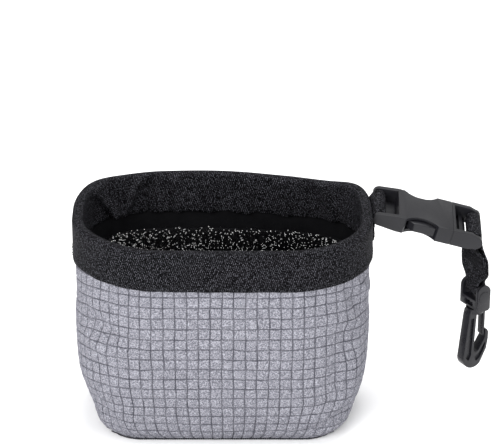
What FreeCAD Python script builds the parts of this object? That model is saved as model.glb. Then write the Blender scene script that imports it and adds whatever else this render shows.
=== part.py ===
import FreeCAD, Part
import math
import os
import Sketcher

# Bristle-lined pouch that cleans the grooves of golf clubs. It stands on its base, with the mouth up.
# Millimetres, +Z up, +X towards the buckle, -Y the front. The origin is the middle of the base.
# The pouch is built in layers from the outside in: fleece shell, liner, brush mat, bristles.

VECTOR = FreeCAD.Vector
UP = VECTOR(0, 0, 1)

SIZES = {
    # The pouch's outline at each height: a rounded rectangle, as half sizes and a corner radius.
    "base_height": 0, "base_half_width": 54, "base_half_depth": 30.5, "base_corner": 16,
    "heel_height": 4, "heel_half_width": 59.5, "heel_half_depth": 34.5, "heel_corner": 20,
    "low_height": 12, "low_half_width": 64.5, "low_half_depth": 38, "low_corner": 25,
    "hip_height": 24, "hip_half_width": 67.8, "hip_half_depth": 41, "hip_corner": 31,
    "belly_height": 45, "belly_half_width": 69, "belly_half_depth": 43.5, "belly_corner": 36,
    "brush_height": 77, "brush_half_width": 69, "brush_half_depth": 44.3, "brush_corner": 38,
    "band_height": 86, "band_half_width": 69, "band_half_depth": 44.6, "band_corner": 38.8,
    "rim_height": 104, "rim_half_width": 69, "rim_half_depth": 45, "rim_corner": 40,
    "crown_height": 105.2, "crown_half_width": 69, "crown_half_depth": 45, "crown_corner": 40,
    # Layers of cloth and thread.
    "layer_gap": 0.05, "shell_thick": 2, "liner_thick": 0.8, "liner_floor_inset": 3.4,
    "mat_thick": 1.2, "bristle_length": 6.8, "band_thick": 1.15, "web_thick": 1.2,
    # Threads lie on the cloth with a hair's gap under them.
    "thread": 0.35, "thread_gap": 0.02, "stitch_row": 0.8, "rim_stitch_height": 88.4,
    "base_stitch_height": 0.8, "tab_stitch_low": 1, "tab_stitch_high": 6, "tab_stitch_inset": 1,
    "tack_inset": 1.5,
    # Side-release buckle, for 20 mm webbing. Its own X runs from the socket's bar to the plug's bar.
    "buckle_x": 74, "buckle_y": 10, "buckle_z": 103.5, "buckle_slope": 15, "buckle_roll": 8,
    "buckle_half_width": 12.75, "buckle_half_thick": 4, "web_half_width": 10, "slot_half_width": 10.35,
    "bar_radius": 1.6, "bar_bite": 0.2, "bar_end_radius": 3, "web_room": 0.2,
    "socket_slot": 8.5, "socket_length": 35, "cut_past": 1, "floor_thick": 0.9, "floor_start": 3.5,
    "plug_floor_end": 43.3,
    "cavity_start": 11, "cavity_half_width": 10.6, "cavity_half_height": 2.4,
    "window_start": 12.5, "window_end": 27, "window_half_height": 2.5,
    "scallop_radius": 10, "scallop_out": 18.75, "scallop_at": 19.8,
    "part_line_gap": 0.15, "flange_thick": 1.3, "plug_bar": 47.2, "cross_bar": 40.6, "cross_bar_half": 0.9,
    "guide_start": 15, "guide_half_width": 1.7, "guide_half_height": 1.9,
    "prong_root": 33.8, "prong_middle": 8.7, "prong_half_width": 1.2, "prong_half_height": 2.2,
    "prong_shoulder": 26.8, "prong_tip": 13.6, "button_out": 12.2, "button_ramp": 3,
    "tip_ramp": 2, "tip_step": 1,
    # Webbing loop. It is pinched and turned over these shares of the way from the plug to the hook.
    # Its two leaves lie together between those heights where the bars hold them apart.
    "strap_half_width": 9.5, "pinch_half_width": 4.9, "pinch_start": 0.6, "pinch_end": 0.85,
    "turn_start": 0.12, "turn_end": 0.72, "leaves_meet": 0.4, "leaves_part": 0.65,
    # Swivel snap hook. Its own origin is the middle of its eye's bar.
    "hook_x": 121.2, "hook_y": 10, "hook_z": 60.3, "hook_yaw": 32,
    "eye_bar_radius": 1.5, "eye_half_width": 7, "eye_inside": 5.2, "eye_half_depth": 3.7,
    "eye_top": 5.6, "eye_floor": 4.2, "yoke_bottom": 10, "yoke_chamfer": 1,
    "disc_radius": 3, "disc_down": 2.6, "disc_out": 0.35,
    "post_radius": 1.6, "post_bore": 1.65, "post_head_radius": 2.6, "post_top": 6.3,
    "chamber_top": 5.7, "chamber_bottom": 8.2, "chamber_half_width": 3, "post_play": 0.1,
    "collar_radius": 4.3, "collar_top": 10.1, "collar_bottom": 12.6, "hook_half_thick": 2.5,
    "groove_core": 1.4, "bow_radius": 5.9, "bow_x": 1.6, "bow_z": 36, "gap_end_radius": 1.7,
    "gate_pivot_x": 4.4, "gate_pivot_z": 13.45, "gate_half_thick": 0.65, "gate_end": 26,
    "gate_half_width": 2, "gate_chamfer": 0.5,
}

# Corners of the hook and its grooves: distance to the right of the post's line, and down from the eye.
HOOK_POINTS = {
    "neck": (4.2, 10.6), "shoulder": (4.8, 13.3), "shank_top": (0.4, 13.2), "shank_low": (1.5, 32),
    "gap_floor": (1.6, 33), "nose_low": (6.1, 33.4), "nose_wide": (7, 28.2), "nose_high": (7, 24.4),
    "nose_tip": (6.2, 23), "seat_top": (5.2, 22.8), "seat_low": (5.2, 27.2), "collar_edge": (5.2, 12.6),
    "rib_a": (3.7, 15), "rib_b": (6.1, 35.9), "rib_c": (4.2, 37.6), "rib_d": (2.9, 34.8), "rib_e": (1.8, 15),
    "scoop_a": (0.3, 38.8), "scoop_b": (1, 36), "scoop_c": (1.8, 34.6), "scoop_d": (5.2, 29.6),
    "scoop_e": (5.6, 30.4), "scoop_f": (4.6, 33.8), "scoop_g": (2.4, 37.4),
}

# The strap is ruled between evenly spaced sections. The tack lies over some of them.
STRAP_STEPS = 12
TACK_STEPS = (5, 6, 7)

# Heights that each layer passes, from the bottom up.
WALL = ["base", "heel", "low", "hip", "belly", "brush", "band", "rim"]
LINER = WALL[1:]
BRUSH = ["low", "hip", "belly", "brush"]
BAND = ["band", "rim", "crown"]

# How far each surface lies inside the outline. The binding lies outside it, so its value is negative.
SHELL_IN = "Sizes.shell_thick"
LINER_OUT = SHELL_IN + " + Sizes.layer_gap"
LINER_IN = LINER_OUT + " + Sizes.liner_thick"
MAT_OUT = LINER_IN + " + Sizes.layer_gap"
MAT_IN = MAT_OUT + " + Sizes.mat_thick"
BRISTLE_OUT = MAT_IN + " + Sizes.layer_gap"
BRISTLE_IN = BRISTLE_OUT + " + Sizes.bristle_length"
LAP_IN = "-Sizes.layer_gap"
LAP_OUT = LAP_IN + " - Sizes.band_thick"
LINING_LAP_IN = MAT_OUT + " + Sizes.band_thick"

# Reach of boxes that take in the whole pouch.
ALL_WIDE = ("-2 * Sizes.rim_half_width", "2 * Sizes.rim_half_width")
ALL_DEEP = ("-2 * Sizes.rim_half_depth", "2 * Sizes.rim_half_depth")

doc = FreeCAD.newDocument("ClubGroovePouch")
sheet = doc.addObject("Spreadsheet::Sheet", "Sizes")
nodes = {}


def fill_sheet():
    rows = dict(SIZES)
    for name, (right, down) in HOOK_POINTS.items():
        rows[f"{name}_right"] = right
        rows[f"{name}_down"] = down
    for row, (alias, number) in enumerate(rows.items(), start=1):
        sheet.set(f"A{row}", alias)
        sheet.set(f"B{row}", str(number))
        sheet.setAlias(f"B{row}", alias)
    doc.recompute()


def size(expression):
    """Value of an expression of the sheet's aliases."""
    return float(sheet.evalExpression(f"{expression} + 0"))


def sizes(*aliases):
    return [size(f"Sizes.{alias}") for alias in aliases]


def bind(item, **expressions):
    """Ties properties to the sheet. A double underscore in a name stands for a dot."""
    for name, expression in expressions.items():
        item.setExpression(name.replace("__", "."), str(expression))
    return item


def keep(item, label):
    """Marks an object as a finished piece, under the name of its file."""
    item.Label = label
    nodes[label] = item
    return item


# Sketches -------------------------------------------------------------------------------------------

def fix_point(sketch, geometry, point, x, y, name):
    """Holds a point of the sketch at x, y from its origin, both of them expressions."""
    for kind, letter, expression in (("DistanceX", "x", x), ("DistanceY", "y", y)):
        row = sketch.addConstraint(Sketcher.Constraint(kind, -1, 1, geometry, point, size(expression)))
        sketch.renameConstraint(row, name + letter)
        sketch.setExpression(f"Constraints.{name}{letter}", str(expression))


def fix_radius(sketch, geometry, radius, name):
    row = sketch.addConstraint(Sketcher.Constraint("Radius", geometry, size(radius)))
    sketch.renameConstraint(row, name)
    sketch.setExpression(f"Constraints.{name}", str(radius))


def arc_between(start, end, radius):
    """Arc of less than half a turn. It turns left for a positive radius and right for a negative one."""
    half = (end - start) / 2
    side = UP.cross(half).normalize() * math.copysign(1, radius)
    centre = start + half + side * math.sqrt(max(radius**2 - half.Length**2, 0))
    first, last = (start, end) if radius > 0 else (end, start)
    angles = [math.atan2(p.y - centre.y, p.x - centre.x) for p in (first, last)]
    if angles[1] < angles[0]:
        angles[1] += 2 * math.pi
    return Part.ArcOfCircle(Part.Circle(centre, UP, abs(radius)), *angles)


def draw_outline(sketch, corners):
    """Closed outline. A corner is (x, y), or (x, y, radius) where the stretch after it is an arc."""
    points = [VECTOR(size(c[0]), size(c[1]), 0) for c in corners]
    ends = []
    for index, corner in enumerate(corners):
        start, end = points[index], points[(index + 1) % len(points)]
        if len(corner) == 2:
            sketch.addGeometry(Part.LineSegment(start, end), False)
            ends.append((1, 2))
        else:
            radius = size(corner[2])
            sketch.addGeometry(arc_between(start, end, radius), False)
            ends.append((1, 2) if radius > 0 else (2, 1))
    for index, corner in enumerate(corners):
        after = (index + 1) % len(corners)
        sketch.addConstraint(Sketcher.Constraint("Coincident", index, ends[index][1], after, ends[after][0]))
        fix_point(sketch, index, ends[index][0], corner[0], corner[1], f"p{index}")
    for index, corner in enumerate(corners):
        if len(corner) == 3:
            sign = "" if size(corner[2]) > 0 else "-1 * "
            fix_radius(sketch, index, f"{sign}({corner[2]})", f"arc{index}")


def origin_plane(body, role):
    return next(item for item in body.Origin.OriginFeatures if item.Role == role)


def body_sketch(body, role, name):
    sketch = body.newObject("Sketcher::SketchObject", name)
    sketch.AttachmentSupport = [(origin_plane(body, role), "")]
    sketch.MapMode = "FlatFace"
    return sketch


def outline_sketch(body, role, name, corners):
    sketch = body_sketch(body, role, name)
    draw_outline(sketch, corners)
    return sketch


def circle_sketch(body, role, name, x, y, radius):
    sketch = body_sketch(body, role, name)
    sketch.addGeometry(Part.Circle(VECTOR(size(x), size(y), 0), UP, size(radius)), False)
    fix_point(sketch, 0, 3, x, y, "centre")
    fix_radius(sketch, 0, radius, "radius")
    return sketch


def rectangle(x0, x1, y0, y1):
    return [(x0, y0), (x1, y0), (x1, y1), (x0, y1)]


# Body features, all of them centred on the plane of their sketch --------------------------------------

def both_ways(body, kind, sketch, length):
    """Pad or Pocket that reaches the same distance to both sides of its sketch."""
    feature = body.newObject(f"PartDesign::{kind}", f"{sketch.Name}_{kind}")
    feature.Profile = sketch
    feature.Midplane = True
    bind(feature, Length=length)
    sketch.Visibility = False
    return feature


def pad(body, sketch, length):
    return both_ways(body, "Pad", sketch, length)


def pocket(body, sketch, length):
    """A pocket has to take material away, so the volumes before and after are compared."""
    doc.recompute()
    before = body.Shape.Volume
    feature = both_ways(body, "Pocket", sketch, length)
    doc.recompute()
    if body.Shape.Volume > before - 0.1:
        raise RuntimeError(f"{feature.Name} cuts nothing")
    return feature


def upright_cylinder(body, kind, name, radius, bottom, top):
    """Cylinder along the body's Z, added or taken away."""
    feature = body.newObject(f"PartDesign::{kind}Cylinder", name)
    bind(feature, Radius=radius, Height=f"({top}) - ({bottom})", Placement__Base__z=bottom)
    return feature


# Cloth layers of the pouch -----------------------------------------------------------------------------

def pouch_section(name, level, inset):
    """The pouch's rounded outline at one height, drawn inward by the inset."""
    sketch = doc.addObject("Sketcher::SketchObject", name)
    bind(sketch, Placement__Base__z=f"Sizes.{level}_height")
    radius = f"Sizes.{level}_corner - ({inset})"
    along = f"Sizes.{level}_half_width - Sizes.{level}_corner"
    across = f"Sizes.{level}_half_depth - Sizes.{level}_corner"
    signs = [(1, 1), (-1, 1), (-1, -1), (1, -1)]
    centres = [VECTOR(sx * size(along), sy * size(across), 0) for sx, sy in signs]
    for index, centre in enumerate(centres):
        quarter = (index * math.pi / 2, (index + 1) * math.pi / 2)
        sketch.addGeometry(Part.ArcOfCircle(Part.Circle(centre, UP, size(radius)), *quarter), False)
    for index in range(4):
        start = sketch.getPoint(index, 2)
        end = sketch.getPoint((index + 1) % 4, 1)
        sketch.addGeometry(Part.LineSegment(start, end), False)
    for index, (sx, sy) in enumerate(signs):
        first, second = ("Horizontal", "Vertical") if index % 2 == 0 else ("Vertical", "Horizontal")
        sketch.addConstraint(Sketcher.Constraint(first, index, 3, index, 1))
        sketch.addConstraint(Sketcher.Constraint(second, index, 3, index, 2))
        sketch.addConstraint(Sketcher.Constraint("Coincident", index, 2, index + 4, 1))
        sketch.addConstraint(Sketcher.Constraint("Coincident", index + 4, 2, (index + 1) % 4, 1))
        fix_radius(sketch, index, radius, f"radius{index}")
        fix_point(sketch, index, 3, f"{sx} * ({along})", f"{sy} * ({across})", f"centre{index}")
    return sketch


def pouch_solid(name, levels, inset):
    """Solid that fills the pouch's outline, less the inset, through the given heights."""
    loft = doc.addObject("Part::Loft", name)
    loft.Sections = [pouch_section(f"{name}_{level}", level, inset) for level in levels]
    loft.Solid = True
    loft.Ruled = True
    return loft


def cut(name, base, tool):
    item = doc.addObject("Part::Cut", name)
    item.Base = base
    item.Tool = tool
    return item


def common(name, base, tool):
    item = doc.addObject("Part::Common", name)
    item.Base = base
    item.Tool = tool
    return item


def fuse(name, *shapes):
    item = doc.addObject("Part::MultiFuse", name)
    item.Shapes = list(shapes)
    return item


def compound(name, *shapes):
    item = doc.addObject("Part::Compound", name)
    item.Links = list(shapes)
    return item


def layer(name, levels, outer, inner):
    """Closed ring of cloth between two insets."""
    return cut(name, pouch_solid(f"{name}_outer", levels, outer), pouch_solid(f"{name}_inner", levels, inner))


def block(name, x, y, z):
    """Box between pairs of expressions."""
    box = doc.addObject("Part::Box", name)
    bind(box, Length=f"({x[1]}) - ({x[0]})", Width=f"({y[1]}) - ({y[0]})", Height=f"({z[1]}) - ({z[0]})")
    return bind(box, Placement__Base__x=x[0], Placement__Base__y=y[0], Placement__Base__z=z[0])


def front_and_back(name, ring):
    """Splits a ring of cloth at the side seams."""
    tall = ("-Sizes.rim_height", "2 * Sizes.rim_height")
    front = block(f"{name}_front_half", ALL_WIDE, (ALL_DEEP[0], "-Sizes.layer_gap / 2"), tall)
    back = block(f"{name}_back_half", ALL_WIDE, ("Sizes.layer_gap / 2", ALL_DEEP[1]), tall)
    keep(common(f"{name}_front_cut", ring, front), f"{name}_front")
    keep(common(f"{name}_back_cut", ring, back), f"{name}_back")


def floor_panel(label, level, inset, bottom, thickness):
    """Flat panel with the pouch's outline at one level."""
    outline = pouch_section(f"{label}_outline", level, inset)
    bind(outline, Placement__Base__z=bottom)
    panel = doc.addObject("Part::Extrusion", f"{label}_panel")
    panel.Base = outline
    panel.DirMode = "Custom"
    panel.Dir = UP
    panel.Solid = True
    bind(panel, LengthFwd=thickness)
    keep(panel, label)


def stitch_row(name, levels, outer, inner, height):
    """One row of thread that runs round the pouch on a sloping or upright wall."""
    ring = layer(f"{name}_ring", levels, outer, inner)
    tall = (height, f"{height} + Sizes.stitch_row")
    return common(name, ring, block(f"{name}_slab", ALL_WIDE, ALL_DEEP, tall))


def make_pouch():
    front_and_back("shell", layer("shell", WALL, "0", SHELL_IN))
    front_and_back("liner", layer("liner", LINER, LINER_OUT, LINER_IN))
    front_and_back("bristle_mat", layer("bristle_mat", BRUSH, MAT_OUT, MAT_IN))
    front_and_back("bristles", layer("bristles", BRUSH, BRISTLE_OUT, BRISTLE_IN))
    floor_panel("shell_base", "base", LINER_OUT, "Sizes.base_height", "Sizes.shell_thick")
    floor_panel("liner_base", "heel", "Sizes.liner_floor_inset",
                "Sizes.heel_height - Sizes.liner_thick", "Sizes.liner_thick")


def make_binding():
    """Webbing folded over the rim: an outer lap, an inner lap and the fold on top."""
    outer_lap = layer("outer_lap", BAND, LAP_OUT, LAP_IN)
    inner_lap = layer("inner_lap", BAND, MAT_OUT, LINING_LAP_IN)
    fold = layer("rim_fold", BAND[1:], LAP_OUT, LINING_LAP_IN)
    keep(fuse("binding", outer_lap, inner_lap, fold), "rim_binding")
    height = "Sizes.rim_stitch_height"
    outside = stitch_row("outer_stitches", BAND, *thread_on(LAP_OUT), height)
    inside = stitch_row("inner_stitches", BAND, *reversed(thread_on(LINING_LAP_IN, "+")), height)
    keep(compound("rim_rows", outside, inside), "rim_stitching")
    keep(stitch_row("base_row", WALL[:2], *thread_on("0"), "Sizes.base_stitch_height"), "base_stitching")


def thread_on(surface, sign="-"):
    """Far and near side of a thread that lies on a surface, as insets."""
    return f"{surface} {sign} Sizes.thread", f"{surface} {sign} Sizes.thread_gap"


def side_seam(name, side):
    """Thread of one side seam, on the outside of the wall from the base seam to the binding."""
    body = doc.addObject("PartDesign::Body", name)
    levels = WALL[1:-1]
    near = [(f"{side} * (Sizes.{level}_half_width + Sizes.thread_gap)", f"Sizes.{level}_height")
            for level in levels]
    far = [(f"{x} + {side} * Sizes.thread", height) for x, height in reversed(near)]
    pad(body, outline_sketch(body, "XZ_Plane", f"{name}_line", near + far), "Sizes.stitch_row")
    return body


def make_side_seams():
    keep(compound("seam_pair", side_seam("seam_left", -1), side_seam("seam_right", 1)), "side_seams")


# Buckle ------------------------------------------------------------------------------------------------

def buckle_placement():
    slope = FreeCAD.Rotation(VECTOR(0, 1, 0), size("Sizes.buckle_slope"))
    roll = FreeCAD.Rotation(VECTOR(1, 0, 0), size("Sizes.buckle_roll"))
    corner = VECTOR(*sizes("buckle_x", "buckle_y", "buckle_z"))
    return FreeCAD.Placement(corner, slope.multiply(roll))


def web_bar(body, name, at):
    """Round bar that the webbing goes round."""
    sketch = circle_sketch(body, "XZ_Plane", name, at, "0", "Sizes.bar_radius")
    pad(body, sketch, "2 * (Sizes.slot_half_width + Sizes.bar_bite)")


def slot_floor(body, name, start, end):
    """Thin plate that closes the slot from below, up to where the webbing passes."""
    top = "-Sizes.bar_end_radius"
    view = rectangle(start, end, f"{top} - Sizes.floor_thick", top)
    pad(body, outline_sketch(body, "XZ_Plane", name, view), "2 * (Sizes.slot_half_width + Sizes.bar_bite)")


def make_socket():
    body = doc.addObject("PartDesign::Body", "Socket")
    thick = "Sizes.buckle_half_thick"
    side_view = [
        ("0", "Sizes.bar_end_radius", "Sizes.bar_end_radius"),
        ("-Sizes.bar_end_radius", "0", "Sizes.bar_end_radius"),
        ("0", "-Sizes.bar_end_radius"),
        ("Sizes.socket_slot", f"-{thick}"),
        ("Sizes.socket_length", f"-{thick}"),
        ("Sizes.socket_length", thick),
        ("Sizes.socket_slot", thick),
    ]
    through = "4 * Sizes.buckle_half_thick"
    pad(body, outline_sketch(body, "XZ_Plane", "socket_side", side_view), "2 * Sizes.buckle_half_width")
    slot = rectangle("-2 * Sizes.bar_end_radius", "Sizes.socket_slot",
                     "-Sizes.slot_half_width", "Sizes.slot_half_width")
    pocket(body, outline_sketch(body, "XY_Plane", "socket_slot", slot), through)
    web_bar(body, "socket_bar", "0")
    slot_floor(body, "socket_floor", "Sizes.floor_start", "Sizes.socket_slot + Sizes.bar_bite")
    cavity = rectangle("Sizes.cavity_start", "Sizes.socket_length + Sizes.cut_past",
                       "-Sizes.cavity_half_width", "Sizes.cavity_half_width")
    pocket(body, outline_sketch(body, "XY_Plane", "socket_cavity", cavity), "2 * Sizes.cavity_half_height")
    past_side = "Sizes.buckle_half_width + Sizes.cut_past"
    window = rectangle("Sizes.window_start", "Sizes.window_end", f"-({past_side})", past_side)
    pocket(body, outline_sketch(body, "XY_Plane", "socket_window", window), "2 * Sizes.window_half_height")
    for name, side in (("near", -1), ("far", 1)):
        scallop = circle_sketch(body, "XY_Plane", f"scallop_{name}", "Sizes.scallop_at",
                                f"{side} * Sizes.scallop_out", "Sizes.scallop_radius")
        pocket(body, scallop, through)
    body.Placement = buckle_placement()
    keep(body, "buckle_female")


def make_plug():
    body = doc.addObject("PartDesign::Body", "Plug")
    thick = "Sizes.buckle_half_thick"
    face = "Sizes.socket_length + Sizes.part_line_gap"
    shoulder = "Sizes.plug_bar - Sizes.bar_end_radius"
    side_view = [
        (face, thick),
        (face, f"-{thick}"),
        (shoulder, f"-{thick}"),
        ("Sizes.plug_bar", "-Sizes.bar_end_radius", "Sizes.bar_end_radius"),
        ("Sizes.plug_bar + Sizes.bar_end_radius", "0", "Sizes.bar_end_radius"),
        ("Sizes.plug_bar", "Sizes.bar_end_radius"),
        (shoulder, thick),
    ]
    pad(body, outline_sketch(body, "XZ_Plane", "plug_side", side_view), "2 * Sizes.buckle_half_width")
    slot = rectangle(f"{face} + Sizes.flange_thick", "Sizes.plug_bar + 2 * Sizes.bar_end_radius",
                     "-Sizes.slot_half_width", "Sizes.slot_half_width")
    pocket(body, outline_sketch(body, "XY_Plane", "plug_slot", slot), "4 * Sizes.buckle_half_thick")
    web_bar(body, "plug_bar", "Sizes.plug_bar")
    slot_floor(body, "plug_floor", f"{face} + Sizes.flange_thick - Sizes.bar_bite", "Sizes.plug_floor_end")
    cross = rectangle("Sizes.cross_bar - Sizes.cross_bar_half", "Sizes.cross_bar + Sizes.cross_bar_half",
                      "-3 * Sizes.cross_bar_half", "-Sizes.cross_bar_half")
    pad(body, outline_sketch(body, "XZ_Plane", "plug_cross", cross),
        "2 * (Sizes.slot_half_width + Sizes.bar_bite)")
    guide = rectangle("Sizes.guide_start", f"{face} + Sizes.flange_thick / 2",
                      "-Sizes.guide_half_width", "Sizes.guide_half_width")
    pad(body, outline_sketch(body, "XY_Plane", "plug_guide", guide), "2 * Sizes.guide_half_height")
    body.Placement = buckle_placement()
    keep(body, "buckle_male")


def make_prong(label, side):
    """Squeeze arm: a round root by the plug's flange, and a button that fills the socket's window."""
    body = doc.addObject("PartDesign::Body", f"{label}_body")
    outer = f"{side} * (Sizes.prong_middle + Sizes.prong_half_width)"
    inner = f"{side} * (Sizes.prong_middle - Sizes.prong_half_width)"
    button = f"{side} * Sizes.button_out"
    bend = f"{side} * Sizes.prong_half_width"
    view = [
        ("Sizes.prong_root", inner, bend),
        ("Sizes.prong_root + Sizes.prong_half_width", f"{side} * Sizes.prong_middle", bend),
        ("Sizes.prong_root", outer),
        ("Sizes.prong_shoulder", outer),
        ("Sizes.prong_shoulder", button),
        ("Sizes.prong_tip + Sizes.button_ramp", button),
        ("Sizes.prong_tip", outer),
        ("Sizes.prong_tip", f"{inner} + {side} * Sizes.tip_step"),
        ("Sizes.prong_tip + Sizes.tip_ramp", inner),
    ]
    pad(body, outline_sketch(body, "XY_Plane", f"{label}_view", view), "2 * Sizes.prong_half_height")
    body.Placement = buckle_placement()
    keep(body, label)


# Webbing -----------------------------------------------------------------------------------------------

def bar_cylinder(name, radius, half_length):
    """Cylinder on the line of the socket's bar."""
    cylinder = doc.addObject("Part::Cylinder", name)
    bind(cylinder, Radius=radius, Height=f"2 * {half_length}")
    lying = FreeCAD.Rotation(VECTOR(1, 0, 0), -90)
    start = FreeCAD.Placement(VECTOR(0, -size(half_length), 0), lying)
    cylinder.Placement = buckle_placement().multiply(start)
    return cylinder


def make_tab():
    """Tab sewn flat on the binding. It leaves the wall at its top and wraps the socket's bar."""
    wall = f"{LAP_OUT} - Sizes.thread_gap"
    width = ("Sizes.buckle_y - Sizes.web_half_width", "Sizes.buckle_y + Sizes.web_half_width")
    right = ("Sizes.rim_half_width - Sizes.slot_half_width", "Sizes.buckle_x")
    foot = "Sizes.rim_stitch_height + Sizes.web_thick"
    top = "Sizes.buckle_z + Sizes.web_thick"
    sewn = common("tab_sewn", layer("tab_layer", BAND, f"{wall} - Sizes.web_thick", wall),
                  block("tab_patch", right, width, (foot, top)))
    bridge = cut("tab_bridge", block("tab_block", right, width, (f"{top} - 2 * Sizes.web_thick", top)),
                 pouch_solid("tab_wall", BAND, wall))
    room = "Sizes.bar_radius + Sizes.web_room"
    wrap = bar_cylinder("tab_wrap", f"{room} + Sizes.web_thick", "Sizes.web_half_width")
    wrapped = fuse("tab_fused", sewn, bridge, wrap)
    keep(cut("tab", wrapped, bar_cylinder("tab_room", room, "Sizes.buckle_half_width")), "tab_webbing")
    thread = layer("tab_thread_layer", BAND, *thread_on(f"{wall} - Sizes.web_thick"))
    across = (f"{width[0]} + Sizes.tab_stitch_inset", f"{width[1]} - Sizes.tab_stitch_inset")
    rows = []
    for name in ("low", "high"):
        height = f"{foot} + Sizes.tab_stitch_{name}"
        slab = block(f"tab_slab_{name}", ("0", right[1]), across, (height, f"{height} + Sizes.stitch_row"))
        rows.append(common(f"tab_row_{name}", thread, slab))
    keep(compound("tab_rows", *rows), "tab_stitching")


def hook_placement():
    corner = VECTOR(*sizes("hook_x", "hook_y", "hook_z"))
    return FreeCAD.Placement(corner, FreeCAD.Rotation(UP, size("Sizes.hook_yaw")))


def ease(share, start, end):
    """Smooth step from 0 to 1 between two shares."""
    step = min(max((share - start) / (end - start), 0), 1)
    return step * step * (3 - 2 * step)


def strap_half_width(share):
    """The webbing keeps its full width at the plug and is pinched before it reaches the eye."""
    wide, pinched = sizes("strap_half_width", "pinch_half_width")
    return wide + (pinched - wide) * ease(share, *sizes("pinch_start", "pinch_end"))


def strap_section(share, side, thickness, half_width, lift=0):
    """Cross-section of one leaf, at a share of the way from the plug's bar to the eye's bar."""
    plug = buckle_placement()
    eye = hook_placement()
    start = plug.multVec(VECTOR(size("Sizes.plug_bar"), 0, 0))
    drop = eye.Base - start
    across = [place.Rotation.multVec(VECTOR(0, 1, 0)) for place in (plug, eye)]
    turn = ease(share, *sizes("turn_start", "turn_end"))
    along = (across[0] * (1 - turn) + across[1] * turn).normalize()
    outward = along.cross(drop).normalize() * side
    bar, eye_bar, room, web = sizes("bar_radius", "eye_bar_radius", "web_room", "web_thick")
    opening = 1 - ease(share, 0, size("Sizes.leaves_meet")) + ease(share, size("Sizes.leaves_part"), 1)
    slack = (bar * (1 - share) + eye_bar * share + room) * opening
    gap = max(slack, size("Sizes.layer_gap")) + web / 2 + lift
    middle = start + drop * share + outward * gap
    corners = [
        middle + along * half_width * a + outward * thickness / 2 * b
        for a, b in ((-1, -1), (1, -1), (1, 1), (-1, 1))
    ]
    return Part.makePolygon(corners + corners[:1])


def wrap_bar(section, centre, along, turn):
    """Half turn of webbing round a bar, from one leaf to the other."""
    return Part.Face(section).revolve(centre, along, turn)


def strap_shape():
    """Webbing loop: two leaves that turn together, and a half turn round each bar."""
    web = size("Sizes.web_thick")
    shares = [step / STRAP_STEPS for step in range(STRAP_STEPS + 1)]
    leaves = []
    for side in (1, -1):
        sections = [strap_section(share, side, web, strap_half_width(share)) for share in shares]
        leaves.append(Part.makeLoft(sections, True, True))
    plug = buckle_placement()
    eye = hook_placement()
    top = strap_section(0, 1, web, strap_half_width(0))
    foot = strap_section(1, 1, web, strap_half_width(1))
    start = plug.multVec(VECTOR(size("Sizes.plug_bar"), 0, 0))
    over = wrap_bar(top, start, plug.Rotation.multVec(VECTOR(0, 1, 0)), 180)
    under = wrap_bar(foot, eye.Base, eye.Rotation.multVec(VECTOR(0, 1, 0)), -180)
    return leaves[0].multiFuse([leaves[1], over, under])


def strap_tack_shape():
    """Bar tack through both leaves, seen as a patch of thread on the outside of each."""
    thread, web, gap, inset = sizes("thread", "web_thick", "thread_gap", "tack_inset")
    lift = (web + thread) / 2 + gap
    shares = [step / STRAP_STEPS for step in TACK_STEPS]
    patches = []
    for side in (1, -1):
        sections = [strap_section(share, side, thread, strap_half_width(share) - inset, lift)
                    for share in shares]
        patches.append(Part.makeLoft(sections, True, True))
    return Part.makeCompound(patches)


def make_strap():
    """The leaves are ruled between turned sections, which no sketched feature makes in one piece."""
    for name, shape in (("strap_loop", strap_shape()), ("strap_stitching", strap_tack_shape())):
        feature = doc.addObject("Part::Feature", f"{name}_shape")
        feature.Shape = shape
        keep(feature, name)


# Swivel snap hook --------------------------------------------------------------------------------------

def make_yoke():
    """Eye of the hook: two ears, a bar for the webbing, and a base with a chamber for the post's head."""
    body = doc.addObject("PartDesign::Body", "Yoke")
    deep = "Sizes.eye_half_depth"
    ear = [
        (deep, "0", deep),
        ("0", deep, deep),
        (f"-{deep}", "0"),
        (f"-{deep}", "-Sizes.yoke_bottom + Sizes.yoke_chamfer"),
        (f"-{deep} + Sizes.yoke_chamfer", "-Sizes.yoke_bottom"),
        (f"{deep} - Sizes.yoke_chamfer", "-Sizes.yoke_bottom"),
        (deep, "-Sizes.yoke_bottom + Sizes.yoke_chamfer"),
    ]
    pad(body, outline_sketch(body, "XZ_Plane", "yoke_ear", ear), "2 * Sizes.eye_half_width")
    inside = rectangle("-Sizes.eye_inside", "Sizes.eye_inside", "-Sizes.eye_floor", "Sizes.eye_top")
    disc = circle_sketch(body, "XZ_Plane", "yoke_disc", "0", "-Sizes.disc_down", "Sizes.disc_radius")
    pad(body, disc, "2 * (Sizes.eye_half_width + Sizes.disc_out)")
    pocket(body, outline_sketch(body, "YZ_Plane", "yoke_inside", inside), "4 * Sizes.eye_half_depth")
    bar = circle_sketch(body, "XZ_Plane", "yoke_bar", "0", "0", "Sizes.eye_bar_radius")
    pad(body, bar, "2 * (Sizes.eye_inside + Sizes.bar_bite)")
    chamber = rectangle("-Sizes.chamber_half_width", "Sizes.chamber_half_width",
                        "-Sizes.chamber_bottom", "-Sizes.chamber_top")
    pocket(body, outline_sketch(body, "YZ_Plane", "yoke_chamber", chamber), "4 * Sizes.eye_half_depth")
    upright_cylinder(body, "Subtractive", "yoke_bore", "Sizes.post_bore",
                     "-Sizes.yoke_bottom - Sizes.cut_past", "-Sizes.chamber_bottom + Sizes.bar_bite")
    body.Placement = hook_placement()
    keep(body, "hook_yoke")


def hook_point(name, side=1):
    """Corner of the hook to the right of the post's line, or to its left for a side of -1."""
    return f"{side} * Sizes.{name}_right", f"-Sizes.{name}_down"


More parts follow.
